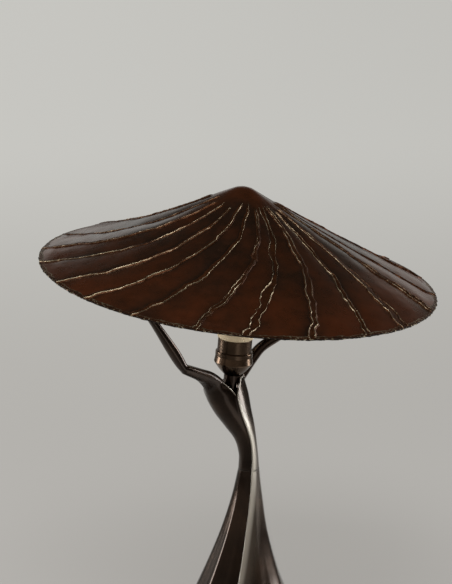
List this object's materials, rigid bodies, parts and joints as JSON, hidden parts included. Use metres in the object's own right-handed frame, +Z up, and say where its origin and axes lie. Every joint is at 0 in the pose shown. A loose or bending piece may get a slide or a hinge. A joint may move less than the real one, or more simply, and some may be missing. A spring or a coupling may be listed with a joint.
{
  "type": "bronze table lamp",
  "caption": "Cast bronze table lamp: a headless robed figure holds a wide conical swirl-seamed shade on raised arms, with a screw-in bulb in a holder at the neck.",
  "frame": {"origin": "middle of the felt under the base, on the surface the lamp rests on", "axes": "+Z up, +X to the right of a viewer who stands where the picture was taken, +Y away from that viewer"},
  "size_m": [0.445, 0.4472, 0.5313],
  "materials": {
    "bronze_shade": "hammered sheet, red-brown patina, waxed",
    "bronze_seam": "torn sheet edges, patina worn through to pale bronze",
    "bronze_body": "polished casting, near-black brown patina",
    "bronze_holder": "satin turned bronze",
    "brass_fitting": "turned",
    "steel": "zinc plated",
    "porcelain": "glazed",
    "cord_sheath": "flexible sheath",
    "core_sheath": "flexible insulation",
    "pale_plastic": "moulded",
    "black_plastic": "moulded",
    "ballast_iron": "as cast",
    "felt": "pressed felt",
    "bulb_metal": "nickel plated",
    "cream_plastic": "ribbed moulding",
    "board_metal": "white coated",
    "frosted_globe": "frosted"
  },
  "bodies": {
    "stand": {"torso_casting": "bronze_body", "skirt_casting": "bronze_body", "left_forearm": "bronze_body", "right_forearm": "bronze_body", "left_hand_pin": "brass_fitting", "right_hand_pin": "brass_fitting", "joint_tube": "steel", "neck_sleeve": "bronze_holder", "neck_nipple": "steel", "neck_locknut": "steel", "holder_cap": "bronze_holder", "holder_barrel": "bronze_holder", "contact_block": "porcelain", "insulating_sleeve": "porcelain", "screw_shell": "brass_fitting", "centre_contact": "brass_fitting", "terminal_screws": "brass_fitting", "supply_lead": "cord_sheath", "lead_cores": "core_sheath", "terminal_block": "pale_plastic", "block_screws": "brass_fitting", "inlet_bush": "black_plastic", "ballast_ring": "ballast_iron", "base_plate": "steel", "base_screws": "steel", "felt_pad": "felt"},
    "shade": {"shade_shell": "bronze_shade", "shade_seams": "bronze_seam", "shade_rim_band": "bronze_seam", "left_socket": "brass_fitting", "right_socket": "brass_fitting", "socket_screws": "steel"},
    "bulb_contact": {"bulb_foot": "brass_fitting"},
    "bulb": {"bulb_insulator": "black_plastic", "bulb_cap": "bulb_metal", "bulb_housing": "cream_plastic", "led_board": "board_metal", "bulb_globe": "frosted_globe"}
  },
  "joints": [
    {"name": "shade_lift", "type": "slide", "parent": "stand", "child": "shade", "axis": [0.1002, -0.0391, 0.9942], "range_m": [0, 0.12]},
    {"name": "bulb_rise", "type": "slide", "parent": "stand", "child": "bulb_contact", "axis": [0.0785, 0, 0.9969], "range_m": [0, 0.0182]},
    {"name": "bulb_turn", "type": "hinge", "parent": "bulb_contact", "child": "bulb", "pos_m": [-0.0065, 0, 0.318], "axis": [0.0785, 0, 0.9969], "range_deg": [0, 1800]}
  ],
  "couplings": [
    {"joint": "bulb_rise", "follows": "bulb_turn", "m_per_rad": 0.00057753}
  ]
}
